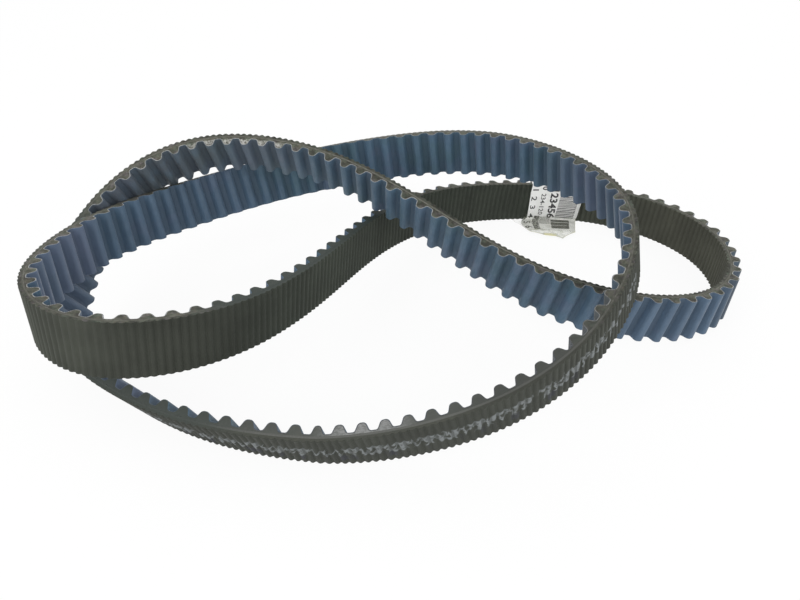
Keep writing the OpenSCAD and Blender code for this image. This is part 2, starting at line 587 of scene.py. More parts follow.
def filleted(corners: Sequence[tuple[float, float, float]], segments: int = 5) -> list[tuple[float, float]]:
    """Rounds the inner corners of an open line.

    Args:
        corners: Length, height and fillet radius of each corner.
        segments: Steps of each rounding.

    Returns:
        Points of the rounded line, its last point left out.
    """
    points = [corners[0][:2]]
    for before, at, after in zip(corners, corners[1:], corners[2:]):
        here, radius = np.array(at[:2]), at[2]
        back, ahead = unit(np.array(before[:2]) - here), unit(np.array(after[:2]) - here)
        turn = math.acos(float(np.clip(-back @ ahead, -1, 1)))
        reach = radius * math.tan(turn / 2)
        middle = here + unit(back + ahead) * radius / math.cos(turn / 2)
        start, end = here + back * reach - middle, here + ahead * reach - middle
        first = math.atan2(start[1], start[0])
        sweep = (math.atan2(end[1], end[0]) - first + math.pi) % (2 * math.pi) - math.pi
        for step in range(segments + 1):
            angle = first + sweep * step / segments
            points.append((middle[0] + radius * math.cos(angle), middle[1] + radius * math.sin(angle)))
    return points


# --- Finishes ---


def near(value: Wire, middle: Number, half: Number, soft: Number) -> Wire:
    """1 within half of a middle, easing to 0 over the soft part outside."""
    return (value - middle).size().ramp(half, half + soft, 1.0, 0.0)


class Stretch(Enum):
    """Stretches of the belt that get their own wear, dirt, painted light and painted shade: middle, half
    length and fade along it.
    """

    LEFT_TURN = (16.0, 22.0, 18.0)
    LEFT_TEETH = (80.0, 40.0, 30.0)
    FAR_TIPS = (140.0, 36.0, 26.0)
    FAR_EDGE = (250.0, 90.0, 50.0)
    RIGHT_TEETH = (318.0, 20.0, 20.0)
    RIGHT_EDGE = (345.0, 40.0, 25.0)
    FRONT_START = (424.0, 24.0, 22.0)
    FRONT_TEETH = (424.0, 30.0, 14.0)
    PAINTED_SHEEN_EDGE = (495.0, 6.0, 15.0)
    FRONT_RUN = (520.0, 92.0, 46.0)
    FLAT_RIBS = (548.0, 108.0, 40.0)
    LOOP_EDGE = (618.0, 60.0, 28.0)
    LOOP_TEETH = (640.0, 54.0, 24.0)
    SOOTY_TEETH = (722.0, 26.0, 16.0)
    PALE_GREY_TEETH = (735.0, 40.0, 30.0)
    SCUFFED_EDGE = (765.0, 17.0, 9.0)
    NEAR_RUBBER = (880.0, 60.0, 40.0)
    NEAR_EDGE = (880.0, 80.0, 40.0)
    LOBE_TEETH = (974.0, 30.0, 20.0)
    LOBE_SHADE = (1032.0, 28.0, 10.0)
    LOBE_BACK = (1066.0, 38.0, 40.0)
    REAR_BACK = (1215.0, 100.0, 50.0)
    REAR_EDGE = (1298.0, 46.0, 26.0)
    CALM_RIBS = (1368.0, 32.0, 28.0)
    LEFT_BACK = (1418.0, 20.0, 16.0)
    LEFT_EDGE = (1424.0, 22.0, 16.0)

    def on(self, s: Wire) -> Wire:
        """1 on the stretch, easing to 0 beyond its ends."""
        return near(s, *self.value)


@dataclass(frozen=True)
class Finish:
    """A material that lays its own nodes."""

    def paint(self, board: Board) -> Wire:
        """Lays the nodes and returns the shader."""
        raise NotImplementedError

    def make(self, name: str) -> bpy.types.Material:
        """Builds the material.

        Args:
            name: Name of the material.

        Returns:
            The finished material.
        """
        material = bpy.data.materials.new(name)
        board = Board(material)
        board.add("OutputMaterial", {}, {"Surface": self.paint(board)})
        return material


@dataclass(frozen=True)
class PrintedRibs(Finish):
    """Moulded rubber of the ribbed back, with what is left of a printed line on its crests."""

    groove: Colour = (0.030, 0.033, 0.026)
    crest: Colour = (0.040, 0.044, 0.035)
    painted_light: Colour = (0.078, 0.079, 0.060)
    moss: Colour = (0.038, 0.047, 0.036)
    dust: Colour = (0.10, 0.10, 0.09)
    ink: Colour = (0.18, 0.195, 0.20)
    smear: Colour = (0.030, 0.032, 0.050)
    print_from: float = 372.0
    print_to: float = 592.0
    cell: float = 8.6
    sizes: BeltSizes = BeltSizes()

    def paint(self, board: Board) -> Wire:
        """Lays the nodes.

        Args:
            board: The material's board.

        Returns:
            The shader.
        """
        s, h, v = board.lay()
        where = board.place()
        depth = self.sizes.back_side
        crest = h.ramp(-depth + self.sizes.rib_h * 0.85, -depth + 0.02)
        blotch = board.noise(where, 0.06, 4.0)
        grain = board.noise(where, 3.1, 4.0, 0.7)
        streak = board.noise(board.vector(s * 0.9, v * 0.12), 1.0, 3.0)
        calm, flat = Stretch.CALM_RIBS.on(s), Stretch.FLAT_RIBS.on(s)
        # painted shade: the grooves get the darker groove colour; on the flat and calm stretches the grooves
        # are painted lighter than the crests, as painted light that evens out the ribs' shading
        painted_rib_shade = crest * (0.8 - flat * 1.2 - calm * 1.1) + flat * 0.65 + calm * 0.55
        colour = board.coats(
            board.blend(painted_rib_shade + streak.ramp(0.35, 0.7) * 0.2, self.groove, self.crest),
            # painted light: the back of the lobe is painted lighter, in an olive tone
            (Stretch.LOBE_BACK.on(s) * 0.7, self.painted_light),
            (Stretch.REAR_BACK.on(s) * 0.5, self.moss),
        )
        shade = blotch.ramp(0.3, 0.7, 0.84, 1.12) * grain.ramp(0.25, 0.75, 0.90, 1.10)
        # painted light: the back is lighter on the left stretch; painted shade: it is darker on the calm
        # stretch
        colour = board.scaled(colour, shade * (Stretch.LEFT_BACK.on(s) * 0.28 - calm * 0.12 + 1))
        dust = board.noise(where, 0.9, 5.0, 0.65).ramp(0.58, 0.80) * crest
        smear = board.noise(board.vector(s * 0.12, 8.0), 1.0, 3.0).ramp(0.50, 0.60) * Stretch.FRONT_RUN.on(s)
        worn = self._print(board, s, v) * crest.ramp(0.1, 0.7, 0.55, 1.0)
        worn = worn * board.noise(where, 0.45, 5.0, 0.7).ramp(0.26, 0.52)
        return board.surface(
            Base_Color=board.coats(
                colour,
                (dust * 0.22, self.dust),
                (smear * near(v, -5.0, 1.6, 1.0) * 0.5, self.smear),
                (worn * 0.85, self.ink),
            ),
            Roughness=grain.ramp(0.2, 0.8, 0.62, 0.78) - crest * 0.06,
            Specular_IOR_Level=0.22,
            Normal=board.bump(grain * 0.6 + board.noise(where, 9.0, 2.0) * 0.4, 0.05, 0.6),
        )

    def _print(self, board: Board, s: Wire, v: Wire) -> Wire:
        """Mask of broken strokes in a line along the middle of the back.

        Args:
            board: The material's board.
            s: Length along the belt.
            v: Distance across the belt.

        Returns:
            1 where there is ink.
        """
        sway = board.noise(board.vector(s * 0.21, v * 0.35), 1.0, 3.0) - 0.5
        along = s + sway * 5.0 + v * 0.3
        across = v + 0.2 + (board.noise(board.vector(s * 0.16, 3.0), 1.0, 2.0) - 0.5) * 3.2
        local = (along / self.cell).fraction()
        number = (along / self.cell).floor()

        def chance(seed: float, share: float) -> Wire:
            """Picks cells.

            Args:
                seed: Seed of the choice.
                share: Share of the cells.

            Returns:
                1 in the picked cells.
            """
            cell = board.vector(number, seed)
            pick = board.node("TexWhiteNoise", {"noise_dimensions": "2D"}, {"Vector": cell})
            return pick.ramp(1 - share - 0.01, 1 - share)

        zigzag = ((local * 2).fraction() - 0.5).size() * 4 - 1
        strokes = near(across - zigzag * 2.4, 0.0, 0.62, 0.62) * chance(2.5, 0.88)
        height = near(across, 0.0, 2.9, 0.6)
        for middle, seed, share in ((0.24, 1.5, 0.55), (0.70, 7.5, 0.45)):
            strokes = strokes.larger(near(local, middle, 0.07, 0.06) * height * chance(seed, share))
        inside = near(local, 0.46, 0.30, 0.08)
        for level, seed, share in ((-2.4, 3.5, 0.5), (2.4, 5.5, 0.4)):
            strokes = strokes.larger(near(across, level, 0.6, 0.5) * inside * chance(seed, share))
        start, end = self.print_from, self.print_to
        return strokes * (s.ramp(start, start + 2) * s.ramp(end - 2, end, 1.0, 0.0))


@dataclass(frozen=True)
class SideEdge(Finish):
    """What the cut side edges share: a rubbed front run, and painted shade on two stretches and on the turns.
    """

    rubbed: Colour = (0.068, 0.073, 0.067)
    painted_edge_shade: Colour = (0.044, 0.053, 0.048)

    def aged(self, board: Board, s: Wire, colour: Wire, rub: Value, cover: Value = 1.0) -> Wire:
        """Rubs the front run, and lays painted shade over it on two stretches and on the turns.

        Args:
            board: The material's board.
            s: Length along the belt.
            colour: The bare edge.
            rub: How far the front run is rubbed.
            cover: How fully the painted shade covers.

        Returns:
            The edge's colour.
        """
        # painted shade: darker on the rear stretch and the loop; below, also darker on the turns and where
        # the front run starts
        painted_edge_shade = Stretch.REAR_EDGE.on(s).larger(Stretch.LOOP_EDGE.on(s) * 0.8)
        turns = Stretch.RIGHT_EDGE.on(s) * 0.17 + Stretch.LEFT_EDGE.on(s) * 0.13
        colour = board.coats(colour, (Stretch.FRONT_RUN.on(s) * rub, self.rubbed), (painted_edge_shade * cover, self.painted_edge_shade))
        return board.scaled(colour, 1 - turns - Stretch.FRONT_START.on(s) * 0.24)


@dataclass(frozen=True)
class CutRubber(SideEdge):
    """Rubber at a side edge, where the belt was cut to width: matt and paler, with dust on it."""

    dark: Colour = (0.043, 0.045, 0.034)
    pale: Colour = (0.105, 0.107, 0.085)
    brown: Colour = (0.124, 0.093, 0.070)
    plum: Colour = (0.102, 0.087, 0.102)
    moss: Colour = (0.065, 0.090, 0.068)
    polish_and_sheen: Colour = (0.280, 0.283, 0.283)
    scuffed: Colour = (0.50, 0.50, 0.47)
    seed: float = 0.0

    def paint(self, board: Board) -> Wire:
        """Lays the nodes.

        Args:
            board: The material's board.

        Returns:
            The shader.
        """
        s, h, v = board.lay()
        where = board.place()
        saw = board.noise(board.vector(s * 0.25 + h * 0.1, h * 3.0, v * 0.2 + self.seed), 1.6, 4.0, 0.6)
        spots = board.noise(where, 1.1, 5.0, 0.7)
        mix = saw.ramp(0.3, 0.75) * 0.45 + spots.ramp(0.35, 0.7) * 0.45 + board.by_tooth(s, self.seed) * 0.25
        tint = board.noise(where, 0.30, 3.0, 0.6)
        colour = board.coats(
            board.blend(mix, self.dark, self.pale),
            (board.noise(where, 0.4, 4.0, 0.7).ramp(0.52, 0.70) * 0.35, self.brown),
            (tint.ramp(0.52, 0.64) * 0.40, self.plum),
            (tint.ramp(0.48, 0.36) * 0.40, self.moss),
        )
        mottle = board.noise(where, 0.42, 3.0, 0.65).ramp(0.34, 0.66, 0.60, 1.42)
        # painted shade: the cut is up to 0.30 darker along the near stretch
        colour = board.scaled(colour, mottle * (1 - Stretch.NEAR_RUBBER.on(s) * 0.30))
        rub, cover = spots.ramp(0.1, 0.6, 0.55, 0.95), spots.ramp(0.2, 0.7, 0.75, 1.0)
        # painted sheen: the cut is painted pale in patches along this stretch
        shine = Stretch.PAINTED_SHEEN_EDGE.on(s) * (saw + spots).ramp(0.8, 1.2, 0.35, 1.0)
        scuff = Stretch.SCUFFED_EDGE.on(s) * h.ramp(0.8, 1.7) * spots.ramp(0.40, 0.60)
        return board.surface(
            Base_Color=board.coats(
                self.aged(board, s, colour, rub, cover),
                (shine * 0.8, self.polish_and_sheen),
                (scuff * 0.70, self.scuffed),
            ),
            Roughness=spots.ramp(0.2, 0.8, 0.50, 0.66),
            Specular_IOR_Level=0.14,
            Normal=board.bump(saw * 0.6 + spots * 0.4, 0.10, 0.7),
        )


@dataclass(frozen=True)
class WovenFacing(Finish):
    """Tight twill of stretch nylon over the teeth: blue, worn to a slight polish on the tips, which also
    carry painted sheen.
    """

    deep: Colour = (0.031, 0.060, 0.090)
    blue: Colour = (0.068, 0.130, 0.198)
    polish_and_sheen: Colour = (0.108, 0.163, 0.218)
    teal: Colour = (0.042, 0.092, 0.108)
    violet: Colour = (0.084, 0.106, 0.168)
    pale: Colour = (0.130, 0.145, 0.215)
    soot_and_shade: Colour = (0.042, 0.041, 0.036)
    pale_grey: Colour = (0.092, 0.104, 0.112)
    painted_valley_shade: Colour = (0.030, 0.046, 0.064)
    yarn: float = 0.36
    sizes: BeltSizes = BeltSizes()

    def paint(self, board: Board) -> Wire:
        """Lays the nodes.

        Args:
            board: The material's board.

        Returns:
            The shader.
        """
        s, h, v = board.lay()
        run, _, _ = board.lay("cloth")
        where = board.place()
        pitch = 2 * math.pi / self.yarn
        weft = (run * pitch).sine()
        warp = (v * pitch).sine()
        twill = ((run + v) * (pitch / 2)).sine()
        weave = twill * 0.5 + weft * warp * 0.3 + weft * 0.2
        thread = board.noise(board.vector(run * 2.6, v * 0.35), 1.0, 3.0, 0.6)
        cloud = board.noise(where, 0.07, 4.0) - 0.5
        tooth = board.by_tooth(s) - 0.5
        tone = 0.50 + weave * 0.10 + (thread - 0.5) * 0.5 + cloud * 0.7 + tooth * 0.14
        top = h.ramp(self.sizes.tooth_side - 0.55, self.sizes.tooth_side - 0.05)
        # worn polish and painted sheen: the tips are painted paler in patches
        rub = top * board.noise(board.vector(run * 0.4, v * 0.16), 1.0, 4.0, 0.7).ramp(0.34, 0.72)
        hue = board.noise(where, 0.055, 3.0)
        bluer = Stretch.LOBE_TEETH.on(s).larger(Stretch.LEFT_TEETH.on(s) * 0.7)
        soot_and_shade = Stretch.SOOTY_TEETH.on(s) * board.noise(where, 0.12, 3.0).ramp(0.35, 0.6) * 0.6
        # soot in patches on the sooty stretch; painted shade darkens the facing evenly where the front run
        # starts and on the lobe
        soot_and_shade = soot_and_shade.larger(Stretch.FRONT_TEETH.on(s)).larger(Stretch.LOBE_SHADE.on(s) * 0.6)
        lit = (Stretch.LEFT_TURN.on(s) * 0.42).larger(Stretch.LOOP_TEETH.on(s) * 0.34)
        # painted shade: the facing is darker towards the land between the teeth
        low = h.ramp(self.sizes.land_h + 0.9, self.sizes.land_h)
        return board.surface(
            Base_Color=board.coats(
                board.blend(tone.ramp(0.0, 1.0), self.deep, self.blue),
                (rub * 0.25, self.polish_and_sheen),
                # painted shade: the tips are darkened along the far stretch
                (top * Stretch.FAR_TIPS.on(s) * 0.25, self.deep),
                (hue.ramp(0.50, 0.66) * (0.40 - bluer * 0.36), self.teal),
                (hue.ramp(0.50, 0.36).larger(bluer * 0.7) * 0.40, self.violet),
                (soot_and_shade * 0.75, self.soot_and_shade),
                (lit.larger(Stretch.RIGHT_TEETH.on(s) * 0.28), self.pale),
                # the facing is paler and greyer along this stretch
                (Stretch.PALE_GREY_TEETH.on(s) * 0.42, self.pale_grey),
                (low * 0.35, self.painted_valley_shade),
            ),
            Roughness=0.62 + weave * 0.05 - rub * 0.14,
            Specular_IOR_Level=0.35,
            Sheen_Weight=0.12,
            Sheen_Roughness=0.4,
            Normal=board.bump(weave * 0.5 + thread * 0.5, 0.05, 0.6),
        )


@dataclass(frozen=True)
class FacingEdge(SideEdge):
    """Cut edge of the woven facing: pale thread ends in a dark binder."""

    binder: Colour = (0.095, 0.098, 0.092)
    thread: Colour = (0.42, 0.42, 0.41)
    rubbed: Colour = (0.050, 0.053, 0.056)
    yarn: float = 0.55

    def paint(self, board: Board) -> Wire:
        """Lays the nodes.

        Args:
            board: The material's board.

        Returns:
            The shader.
        """
        s, _, _ = board.lay()
        run, _, _ = board.lay("cloth")
        where = board.place()
        ends = (run * (2 * math.pi / self.yarn)).sine()
        fuzz = board.noise(where, 2.2, 4.0, 0.7)
        wear = board.noise(where, 0.10, 3.0)
        flecks = board.noise(where, 0.6, 3.0, 0.7)
        mix = (ends * 0.12 + fuzz * 0.5 + flecks * 1.1 + wear * 0.6 - 0.62).ramp(0.14, 0.78)
        mix = mix * (1 - Stretch.NEAR_EDGE.on(s) * 0.34 - Stretch.FAR_EDGE.on(s) * 0.32)
        return board.surface(
            Base_Color=self.aged(board, s, board.blend(mix, self.binder, self.thread), 0.9),
            Roughness=0.85,
            Specular_IOR_Level=0.25,
            Normal=board.bump(ends * 0.3 + fuzz * 0.7, 0.10, 0.7),
        )


@dataclass(frozen=True)
class CutCords(SideEdge):
    """Side edge of the cord layer: glass-fibre cords cut lengthwise, in rubber."""

    rubber: Colour = (0.081, 0.082, 0.067)
    fibre: Colour = (0.159, 0.155, 0.135)
    rubbed: Colour = (0.096, 0.099, 0.093)

    def paint(self, board: Board) -> Wire:
        """Lays the nodes.

        Args:
            board: The material's board.

        Returns:
            The shader.
        """
        s, h, _ = board.lay()
        sway = board.noise(board.vector(s * 0.11), 1.0, 2.0)
        torn = board.noise(board.vector(s * 0.45, h * 1.5), 1.0, 4.0, 0.65).ramp(0.40, 0.62)
        mask = near(h, 0.1, 0.12, 0.25) * torn * sway.ramp(0.3, 0.6, 0.4, 1.0)
        return board.surface(
            Base_Color=self.aged(board, s, board.blend(mask, self.rubber, self.fibre), 0.85),
            Roughness=0.62 - mask * 0.1,
            Specular_IOR_Level=0.14,
            Normal=board.bump(mask + board.noise(board.place(), 2.4, 4.0) * 0.6, 0.12, 0.8),
        )


@dataclass(frozen=True)
class LabelPaper(Finish):
    """Coated label paper, slightly creased and rubbed."""

    white: Colour = (0.88, 0.88, 0.87)
    soiled: Colour = (0.66, 0.66, 0.64)

    def paint(self, board: Board) -> Wire:
        """Lays the nodes.

        Args:
            board: The material's board.

        Returns:
            The shader.
        """
        where = board.place()
        fibre = board.noise(where, 5.0, 3.0)
        soil = board.noise(where, 0.22, 5.0, 0.65)
        return board.surface(
            Base_Color=board.blend(soil.ramp(0.42, 0.75) * 0.5 + fibre * 0.1, self.white, self.soiled),
            Roughness=0.55 + fibre * 0.15,
            Specular_IOR_Level=0.4,
            Normal=board.bump(fibre * 0.2 + board.noise(where, 0.35, 3.0), 0.12, 0.6),
        )


@dataclass(frozen=True)
class PrintInk(Finish):
    """Black thermal print, thin at places."""

    black: Colour = (0.022, 0.022, 0.024)
    worn: Colour = (0.16, 0.16, 0.16)

    def paint(self, board: Board) -> Wire:
        """Lays the nodes and returns the shader."""
        thin = board.noise(board.place(), 1.6, 5.0, 0.7).ramp(0.48, 0.75)
        return board.surface(Base_Color=board.blend(thin, self.black, self.worn), Roughness=0.5 + thin * 0.2)


@dataclass(frozen=True)
class ClearTape(Finish):
    """Clear adhesive film, a little yellow, cloudy where it was pulled and folded."""

    film: Colour = (0.49, 0.51, 0.41)
    fold: Colour = (0.72, 0.69, 0.43)

    def paint(self, board: Board) -> Wire:
        """Lays the nodes.

        Args:
            board: The material's board.

        Returns:
            The shader.
        """
        # millimetres along the label, up from the fold at its foot, and in from the tape's edge
        along, out, rim = board.lay()
        cloud = board.noise(board.place(), 0.28, 4.0, 0.6)
        pull = board.noise(board.vector(along * 0.15, out * 1.4), 1.0, 3.0)
        on_floor = out.ramp(0.4, 1.6, 1.0, 0.0) * along.ramp(29.0, 31.0, 1.0, 0.35)
        border = rim.ramp(0.0, 0.7, 1.0, 0.0)
        # a doubled strip at the edge, and a crease that runs out from it at a slant
        tuck = rim.ramp(2.2, 3.0, 1.0, 0.0) * along.ramp(12.0, 13.5) * along.ramp(19.5, 21.0, 1.0, 0.0)
        crease = ((out + 16.8) * 6.0 - (along - 15.0) * 5.0) / 7.8
        crease = crease.size().ramp(0.1, 0.45, 1.0, 0.0) * along.ramp(15.0, 16.0, 1.0, 0.0)
        haze = 0.10 + cloud.ramp(0.35, 0.7) * 0.10 + border * 0.25 + tuck * 0.40 + crease * 0.5
        haze = (haze + pull.ramp(0.5, 0.7) * 0.06) * on_floor * out.ramp(-13.0, -11.5, 2.0, 0.75)
        return board.surface(
            Base_Color=board.blend(border * 0.5 + tuck - crease + cloud * 0.1, self.film, self.fold),
            Alpha=haze + 0.012,
            Roughness=0.22 + cloud * 0.2,
            Specular_IOR_Level=0.5,
            Normal=board.bump(cloud + pull * 0.5, 0.25, 0.6),
        )


# --- Sub-assemblies ---


@dataclass
class ToothShape:
    """One tooth of the belt: straight flanks with a rounded tip and root."""

    sizes: BeltSizes
    root_half: float = 2.70
    tip_half: float = 1.35
    root_round: float = 0.95
    tip_round: float = 1.60

    def outer(self) -> list[tuple[float, float]]:
        """Outline of the facing's outer side, from land to land.

        Returns:
            Lengths from the tooth's middle and heights.
        """
        end, land, top = self.sizes.tooth_pitch / 2, self.sizes.land_h, self.sizes.tooth_side
        half = [
            (end, land, 0.0),
            (self.root_half, land, self.root_round),
            (self.tip_half, top, self.tip_round),
        ]
        return filleted([(-x, height, radius) for x, height, radius in half] + half[::-1])

    def chains(self) -> tuple[Chain, Chain]:
        """Chains of the facing.

        Returns:
            Its outer side, and its underside one thickness below.
        """
        outer = Chain.repeated(self.outer(), self.sizes)
        total = self.sizes.length
        ahead = np.column_stack([np.append(outer.s[1:], outer.s[0] + total), np.roll(outer.h, -1)])
        behind = np.column_stack([np.insert(outer.s[:-1], 0, outer.s[-1] - total), np.roll(outer.h, 1)])
        here = np.column_stack([outer.s, outer.h])
        along = unit(unit(here - behind) + unit(ahead - here))
        down = np.column_stack([along[:, 1], -along[:, 0]]) * self.sizes.facing_t
        return outer, Chain(outer.s + down[:, 0], outer.h + down[:, 1], outer.run)


@dataclass
class BeltBand:
    """The moulded band: cover, cords, tooth rubber and facing."""

    route: Route
    rib_steps: int = 8
    groove_power: float = 1.5
    cord_steps: int = 8

    def _stations(self, steps: int) -> Array:
        """Lengths from a tooth's middle, in the middle of each step of its pitch."""
        return ((np.arange(steps) + 0.5) / steps - 0.5) * self.route.sizes.tooth_pitch

    def rib_chain(self) -> Chain:
        """Chain of the back's surface: broad rounded ribs with narrow grooves.

        Returns:
            The closed chain.
        """
        sizes = self.route.sizes
        s = self._stations(sizes.ribs_per_tooth * self.rib_steps)
        phase = (s / sizes.tooth_pitch + 0.5) * sizes.ribs_per_tooth - 0.25
        fall = (0.5 - 0.5 * np.cos(2 * math.pi * phase)) ** self.groove_power
        return Chain.repeated(np.column_stack([s, sizes.rib_h * fall - sizes.back_side]), sizes)

    def layers(self) -> list[tuple[Layer, bpy.types.Material, bpy.types.Material]]:
        """The layers from the back to the teeth.

        Returns:
            Each layer with the materials of its face and of its cut edges.
        """
        half_cord = self.route.sizes.cord_t / 2
        facing, under = ToothShape(self.route.sizes).chains()
        ribs = self.rib_chain()
        cords = Chain.repeated([(s, half_cord) for s in self._stations(self.cord_steps)], self.route.sizes)
        bed = under.level(half_cord)
        plain = {"rows": 1, "edge": 0.0, "edge_share": 0.0}
        cut_back = CutRubber(
            dark=(0.037, 0.040, 0.033),
            pale=(0.085, 0.087, 0.068),
            rubbed=(0.053, 0.056, 0.047),
            polish_and_sheen=(0.056, 0.059, 0.051),
            seed=3.0,
        )
        return [
            (
                Layer("ribbed_back_cover", "back_cover", "cover_rubber", ribs, ribs.level(-half_cord)),
                PrintedRibs().make("ribbed_back_rubber"),
                cut_back.make("cut_back_rubber"),
            ),
            (
                Layer("tensile_cords", "tensile_cord_layer", "cord", cords, cords.level(-half_cord), **plain),
                CutCords().make("cord_bed"),
                CutCords().make("cut_cords"),
            ),
            (
                Layer("tooth_rubber_core", "tooth_rubber", "tooth_rubber", under, bed, **plain),
                CutRubber(seed=5.0).make("tooth_core_rubber"),
                CutRubber(seed=8.0).make("cut_tooth_rubber"),
            ),
            (
                Layer("woven_tooth_facing", "tooth_facing", "facing_fabric", facing, under, edge_share=0.3),
                WovenFacing().make("woven_blue_facing"),
                FacingEdge().make("cut_facing_edge"),
            ),
        ]

    def build(self) -> list[Piece]:
        """Builds and dresses the four layers.

        Returns:
            The pieces.
        """
        pieces = []
        for layer, face, cut in self.layers():
            piece = layer.build(self.route)
            for material in (face, cut, cut):
                piece.data.materials.append(material)
            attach(piece, "root")
            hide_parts(layer.node)
            pieces.append(piece)
        return pieces


def thin_sheet(
    name: str, grid: Array, thickness: float, lay: Optional[Array] = None
) -> Piece:
    """Makes a closed thin sheet from a grid of points on its outer face.

    Args:
        name: Name of the piece.
        grid: Points in millimetres, rows by columns.
        thickness: Thickness of the sheet, laid inwards.
        lay: Vectors for the material, rows by columns.

    Returns:
        The sheet.
    """
    rows, columns = grid.shape[:2]
    normal = unit(np.cross(np.gradient(grid, axis=1), np.gradient(grid, axis=0)))
    points = np.concatenate([grid.reshape(-1, 3), (grid - normal * thickness).reshape(-1, 3)])
    back = rows * columns
    numbers = np.arange(back).reshape(rows, columns)
    a, b = numbers[:-1, :-1].ravel(), numbers[1:, :-1].ravel()
    front = np.column_stack([a, a + 1, b + 1, b])
    behind = back + np.column_stack([a, b, b + 1, a + 1])
    both = np.stack([front, behind], axis=1).reshape(-1, 4)
    # the rim closes the sheet along the loop of points at its edge
    a = np.concatenate([numbers[0], numbers[1:, -1], numbers[-1, -2::-1], numbers[-2:0:-1, 0]])
    b = np.roll(a, -1)
    faces = np.concatenate([both, np.column_stack([a, back + a, back + b, b])])
    lays = None
    if lay is not None:
        lays = {"lay": np.concatenate([lay.reshape(-1, 3)] * 2)[faces].reshape(-1, 3)}
    return add_mesh(name, points, faces, None, lays, sharp=60.0)


@dataclass(frozen=True)
class Patch:
    """A rectangle on the label, in millimetres along it and up from the fold at its foot."""

    x0: float
    x1: float
    q0: float
    q1: float
    step_x: float = 0.8
    step_q: float = 0.4
    bar_steps: tuple[float, ...] = (0.55, 0.7, 0.95)
    cell: float = 0.3

    def strip(self) -> Print:
        """The patch as one bar of print, cut up so that it follows the paper.

        Returns:
            Its points and faces.
        """
        across = max(1, int(abs(self.x1 - self.x0) / self.step_x))
        up = max(1, int(abs(self.q1 - self.q0) / self.step_q))
        x, q = np.linspace(self.x0, self.x1, across + 1), np.linspace(self.q0, self.q1, up + 1)
        points = np.stack(np.meshgrid(x, q, indexing="ij"), axis=-1).reshape(-1, 2)
        a = (np.arange(across)[:, None] * (up + 1) + np.arange(up)).ravel()
        return points, np.column_stack([a, a + up + 1, a + up + 2, a + 1])

    def bars(self, seed: int, fill: float) -> list[Print]:
        """Bars of uneven thickness, stacked across the belt's width.

        Args:
            seed: Seed of their thicknesses.
            fill: Share of the space that is black.

        Returns:
            The bars' points and faces.
        """
        pick = np.random.default_rng(seed)
        made, q = [], self.q0
        while q < self.q1:
            step = float(pick.choice(self.bar_steps))
            made.append(Patch(self.x0, self.x1, q, q + step * fill).strip())
            q += step
        return made

    def cells(self, seed: int, fill: float) -> list[Print]:
        """Small squares of print, like a code or very small type.

        Args:
            seed: Seed of the squares' places.
            fill: Share of the squares that is black.

        Returns:
            The squares' points and faces.
        """
        pick = np.random.default_rng(seed)
        side = self.cell
        columns, rows = np.arange(self.x0, self.x1, side), np.arange(self.q0, self.q1, side)
        squares = [Patch(x, x + side, q, q + side) for x in columns for q in rows]
        return [square.strip() for square in squares if pick.random() < fill]


@dataclass(frozen=True)
class Figures:
    """Plain figures that run down the belt's width from q, their feet at x along the label."""

    text: str
    size: float
    x: float
    q: float
    stretch: float
    weight: float
    slant: float = 0.0
    spacing: float = 1.0

    def outline(self) -> Print:
        """Sets the figures as type.

        Returns:
            Points and faces.
        """
        curve = bpy.data.curves.new("type", "FONT")
        curve.body = self.text
        curve.size = self.size
        curve.resolution_u = 3
        curve.space_character = self.spacing
        curve.offset = self.weight
        holder = linked("type", curve)
        bpy.context.view_layer.update()
        mesh = bpy.data.meshes.new_from_object(holder.evaluated_get(bpy.context.evaluated_depsgraph_get()))
        points = np.array([vertex.co[:2] for vertex in mesh.vertices])
        faces = []
        for polygon in mesh.polygons:
            corners = list(polygon.vertices)
            faces += [(corners[0], second, third) for second, third in zip(corners[1:], corners[2:])]
        bpy.data.objects.remove(holder)
        bpy.data.meshes.remove(mesh)
        down = points[:, 0] * self.stretch
        return np.column_stack([self.x - points[:, 1] - self.slant * down, self.q - down]), np.array(faces)


